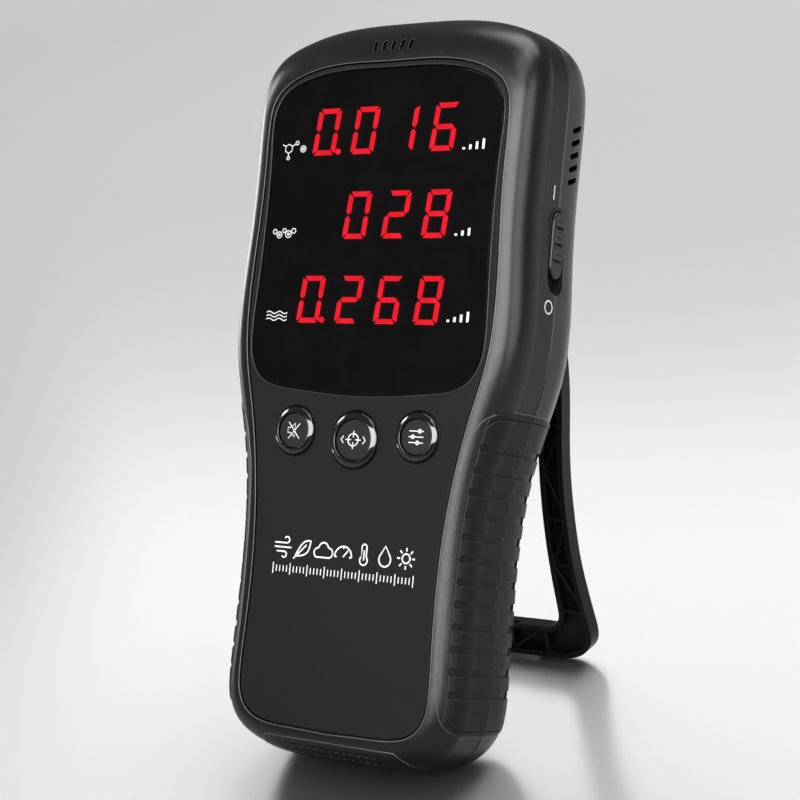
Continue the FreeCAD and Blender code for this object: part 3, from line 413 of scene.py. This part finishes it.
for y in (-0.85, 0.0, 0.85):
    lines.append(seg(*[(-3.1 + 6.2 * i / 30.0, y + 0.28 * math.sin(i / 30.0 * 4 * math.pi)) for i in range(31)]))
strokes("mark_row_bottom", lines, 0.25, front_at(-26.3, 20.3, GLASS_D), "case")
# level bars to the right of each row
for nm, v, k in (("top", 61.1, 4), ("middle", 40.8, 3), ("bottom", 20.6, 4)):
    lines = [seg((-3.2 + 1.75 * i, -1.1), (-3.2 + 1.75 * i, -0.55 + 0.62 * i)) for i in range(k)]
    strokes("mark_level_" + nm, lines, 0.72, front_at(26.2, v, GLASS_D), "case")

# seven pictograms and a tick scale on the lower panel
pic = []


def shift(lines, x):
    return [([(a + x, b_) for a, b_ in p], c) for p, c in lines]


X = [-17.6, -11.75, -5.85, 0.0, 5.85, 11.75, 17.6]
wind = [seg(*([(-2.2, 0.9)] + [(0.9 + 0.0, 0.9)] + circle(0.9, 1.55, 0.65, 12, -90, 150)[0])), seg((-2.2, 0.0), (2.2, 0.0)),
        seg(*([(-1.6, -0.9), (0.4, -0.9)] + circle(0.4, -1.5, 0.6, 12, 90, -150)[0]))]
leaf = [loop(*[(-1.9 + 3.8 * t, -1.6 + 3.3 * t + 1.15 * math.sin(math.pi * t)) for t in [i / 12.0 for i in range(13)]]
             + [(-1.9 + 3.8 * t + 1.0 * math.sin(math.pi * t), -1.6 + 3.3 * t - 0.9 * math.sin(math.pi * t)) for t in [1 - i / 12.0 for i in range(1, 12)]]),
        seg((-2.3, -2.2), (0.9, 0.85))]
cloud_ = [seg(*([(-1.9, -1.4)] + circle(-1.35, -0.45, 0.95, 10, 235, 90)[0] + circle(0.1, 0.4, 1.25, 12, 165, 15)[0]
               + circle(1.5, -0.4, 1.0, 10, 80, -80)[0])), seg((-1.9, -1.4), (1.7, -1.4))]
gauge = [circle(0, -0.9, 2.15, 22, 180, 0), seg((0, -0.9), (1.15, 0.45)), seg((-2.15, -0.9), (-1.6, -0.9)), seg((2.15, -0.9), (1.6, -0.9)), seg((0, 1.25), (0, 0.75))]
therm = [seg(*(circle(0, 1.5, 0.6, 10, 0, 180)[0] + [(-0.6, -0.5)] + circle(0, -1.2, 0.95, 16, 130, 410)[0] + [(0.6, 1.5)])), seg((0, 0.9), (0, -1.2))]
drop = [loop(*([(0, 2.1)] + circle(0, -0.6, 1.45, 20, 150, 390)[0]))]
sun = [circle(0, 0, 0.95, 18)] + [seg((1.45 * math.cos(a), 1.45 * math.sin(a)), (2.2 * math.cos(a), 2.2 * math.sin(a))) for a in [k * math.pi / 4 for k in range(8)]]
PX = []
for x, s in zip(X, (wind, leaf, cloud_, gauge, therm, drop, sun)):
    pic += shift(s, x)
    PX += [x] * len(s)
strokes("mark_pictograms", [([(X0_ + (a - X0_) * 1.12, b_ * 1.15) for a, b_ in p], c) for (p, c), X0_ in zip(pic, PX)], 0.42, front_at(0, -35.6, -0.005), "case")
ticks = []
for i in range(41):
    x = -20.0 + i
    h = 1.35 if i % 5 == 0 else 0.75
    ticks.append(seg((x, -h), (x, h)))
strokes("mark_scale", ticks, 0.30, front_at(0, -40.7, -0.005), "case")


# power marks on the right side, projected on the shell
def tree(node):
    o = N[node]
    return BVHTree.FromPolygons([v.co.copy() for v in o.data.vertices], [tuple(p.vertices) for p in o.data.polygons])


T_FRONT = tree("front_shell")


def side_at(d, v, rot=0.0):
    hit = T_FRONT.ray_cast(P(60, d, v), Vector((-1, 0, 0)))
    n = hit[1].normalized()
    if n.x < 0:
        n = -n
    x = AV.copy()                      # marks read upwards
    z = n
    y = z.cross(x).normalized()
    x = y.cross(z).normalized()
    m = Matrix(((x.x, y.x, z.x, 0), (x.y, y.y, z.y, 0), (x.z, y.z, z.z, 0), (0, 0, 0, 1)))
    m.translation = hit[0] + n * 0.03 * MM
    return m @ Matrix.Diagonal((MM, MM, MM, 1))


# fine lines of painted highlight on the edges of the grips and of the sound grille: thin light tubes laid on the
# moulded surface, standing for the light that the edges catch
def many(*nodes):
    vs, fs = [], []
    for n in nodes:
        o = N[n]
        k = len(vs)
        vs += [v.co.copy() for v in o.data.vertices]
        fs += [tuple(i + k for i in p.vertices) for p in o.data.polygons]
    return BVHTree.FromPolygons(vs, fs)


T_SKIN = many("front_shell", "rear_shell", "bottom_grille")


def down(u, v, lift=0.01):
    h = T_SKIN.ray_cast(P(u, -8, v), AD)
    if h[0] is None:
        return None
    n = h[1].normalized()
    return h[0] + (n if n.dot(AD) < 0 else -n) * lift * MM


def across(d, v, sgn=1):
    h = T_SKIN.ray_cast(P(60 * sgn, d, v), Vector((-sgn, 0, 0)))
    return (h[0] + h[1].normalized() * 0.01 * MM) if h[0] is not None else None


def highlight_bead(name, runs, r, mat, body):
    cu = bpy.data.curves.new(name, "CURVE")
    cu.dimensions = "3D"
    cu.bevel_depth = r * MM
    cu.bevel_resolution = 2
    for run in runs:
        run = [q for q in run if q is not None]
        sp = cu.splines.new("POLY")
        sp.points.add(len(run) - 1)
        for p, q in zip(sp.points, run):
            p.co = (q.x, q.y, q.z, 1.0)
    tmp = bpy.data.objects.new(name + "_c", cu)
    bpy.context.scene.collection.objects.link(tmp)
    me = bpy.data.meshes.new_from_object(tmp.evaluated_get(bpy.context.evaluated_depsgraph_get()))
    bpy.data.objects.remove(tmp)
    bpy.data.curves.remove(cu)
    me.name = name
    for p in me.polygons:
        p.use_smooth = True
    o = bpy.data.objects.new(name, me)
    bpy.context.scene.collection.objects.link(o)
    me.materials.clear()
    me.materials.append(M[mat])
    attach(o, body)
    return o


def spread(pts, n=6):
    out = []
    for (x0, y0), (x1, y1) in zip(pts, pts[1:]):
        out += [(x0 + (x1 - x0) * i / n, y0 + (y1 - y0) * i / n) for i in range(n)]
    return out + [pts[-1]]


GRIP_EDGE = [(32.6, -74.6), (30.9, -72.9), (29.7, -70.0), (29.1, -65.0), (28.65, -55.0), (28.75, -42.0), (29.1, -30.0),
             (29.6, -21.5), (30.1, -16.0), (30.9, -12.5), (31.75, -9.0), (32.7, -5.9), (34.4, -3.1), (36.6, -1.3)]


def rounded(p, n=5):
    out, k = [], len(p)
    for i in range(k - 1):
        a, b_, c, d = p[max(i - 1, 0)], p[i], p[i + 1], p[min(i + 2, k - 1)]
        for q in range(n):
            t = q / float(n)
            out.append(tuple(0.5 * (2 * b_[x] + (c[x] - a[x]) * t + (2 * a[x] - 5 * b_[x] + 4 * c[x] - d[x]) * t * t
                                    + (3 * b_[x] - a[x] - 3 * c[x] + d[x]) * t ** 3) for x in (0, 1)))
    return out + [p[-1]]


# painted highlight lines along each grip edge
for sgn, nm in ((1, "right"), (-1, "left")):
    edge = [down(sgn * (u - 0.22), v - (0.15 if v < -70 else 0) + (0.15 if v > -6 else 0)) for u, v in rounded(GRIP_EDGE)]
    low_run = [across(d, -75.15, sgn) for d in [26.0 - 0.8 * i for i in range(25)]]
    top_run = [across(d, -0.05, sgn) for d in [7.5 + 0.8 * i for i in range(24)]]
    highlight_bead("grip_highlight_line_" + nm, [low_run, edge, top_run], 0.12, "edge_highlight", "case")
# painted highlight line round the sound grille
highlight_bead("grille_highlight_line", [[down(u, v, -0.05) for u, v in spread([(-22.4, -84.6), (-21.6, -83.4), (-18.4, -80.1), (18.4, -80.1), (22.4, -84.1), (22.6, -84.9)], 10)]],
     0.13, "edge_highlight", "case")

strokes("mark_on", [seg((-1.7, 0), (1.7, 0))], 0.42, side_at(13.3, 52.2), "case")
strokes("mark_off", [circle(0, 0, 1.5)], 0.40, side_at(13.3, 25.2), "case")

# --------------------------------------------------------------------- stage
bpy.ops.mesh.primitive_plane_add(size=9.0, location=(0, 0, 0))
floor = bpy.context.object
floor.name = "floor"
fm, nt, b = new_mat("floor")
tc = nt.nodes.new("ShaderNodeTexCoord").outputs["Object"]
nz = noise(nt, tc, 1.2, 2.0, 0.5)
nt.links.new(mix_col(nt, nz, (0.60, 0.60, 0.61), (0.64, 0.64, 0.65)), b.inputs["Base Color"])
nt.links.new(ramp(nt, noise(nt, tc, 1.5, 1.0), [(0.3, 0.20), (0.7, 0.23)]), b.inputs["Roughness"])
b.inputs["Specular IOR Level"].default_value = 0.9
floor.data.materials.append(fm)

w = bpy.data.worlds.new("world")
bpy.context.scene.world = w
w.use_nodes = True
w.node_tree.nodes["Background"].inputs[0].default_value = (0.90, 0.92, 0.95, 1)
w.node_tree.nodes["Background"].inputs[1].default_value = 0.15


def area(name, loc, target, sx, sy, power, col=(1, 1, 1)):
    li = bpy.data.lights.new(name, "AREA")
    li.shape = "RECTANGLE"
    li.size, li.size_y = sx, sy
    li.energy = power
    li.color = col
    o = bpy.data.objects.new(name, li)
    bpy.context.scene.collection.objects.link(o)
    o.location = loc
    o.visible_camera = False
    o.rotation_mode = "QUATERNION"
    o.rotation_quaternion = (Vector(target) - Vector(loc)).to_track_quat("-Z", "Y")
    return o


def body_dir(az, el):
    """Direction in the case frame: az to the right of the front normal, el up along the case."""
    a, e = math.radians(az), math.radians(el)
    return AU * math.sin(a) * math.cos(e) - AD * math.cos(a) * math.cos(e) + AV * math.sin(e)


CTR = Vector((0, -0.01, 0.085))
studio = [
    area("key", CTR + body_dir(10, 9) * 0.95, CTR, 1.10, 0.56, 12.5),
    area("side", CTR + body_dir(68, 12) * 0.95, CTR, 0.55, 0.55, 2.6),
    area("upper", CTR + body_dir(30, 50) * 0.95, CTR, 0.70, 0.45, 1.8),
    area("left", CTR + body_dir(-90, -14) * 0.9, CTR, 0.30, 0.26, 1.6),
    area("edge", CTR + body_dir(-104, 12) * 0.9, CTR, 0.34, 0.34, 2.2),
    area("glint", CTR + body_dir(-78, 26) * 0.9, CTR, 0.20, 0.20, 1.0),
]
area("top", CTR + Vector((0.2, 0.9, 1.4)), CTR + Vector((0, 0.4, -0.08)), 1.4, 1.0, 14.0)
far = area("far", Vector((-1.2, 2.4, 1.9)), Vector((-1.1, 2.0, 0.0)), 3.6, 2.6, 105.0)
# the close softboxes shape the product, the far one only the floor
off, only = bpy.data.collections.new("all_but_floor"), bpy.data.collections.new("floor_only")
off.objects.link(floor)
off.collection_objects[0].light_linking.link_state = "EXCLUDE"
only.objects.link(floor)
for li in studio:
    li.light_linking.receiver_collection = off
far.light_linking.receiver_collection = only

# -------------------------------------------------------------------- camera
cam = bpy.data.cameras.new("camera")
cam.sensor_width = 36.0
cam.lens = 87.41
cam.clip_start, cam.clip_end = 0.02, 50.0
co = bpy.data.objects.new("camera", cam)
bpy.context.scene.collection.objects.link(co)


def row_dir(u, v, w_):
    return AU * u + AV * v - AD * w_


right = row_dir(0.83639707, 0.09347545, -0.54009469)
up = -row_dir(0.03674906, -0.99269727, -0.1148984)
back = -row_dir(-0.54689071, 0.07625272, -0.83372422)
mx = Matrix(((right.x, up.x, back.x), (right.y, up.y, back.y), (right.z, up.z, back.z)))
co.matrix_world = Matrix.Translation(P(259.495, -377.557, -33.542)) @ mx.to_4x4()
bpy.context.scene.camera = co
bpy.context.scene.view_settings.view_transform = "Standard"
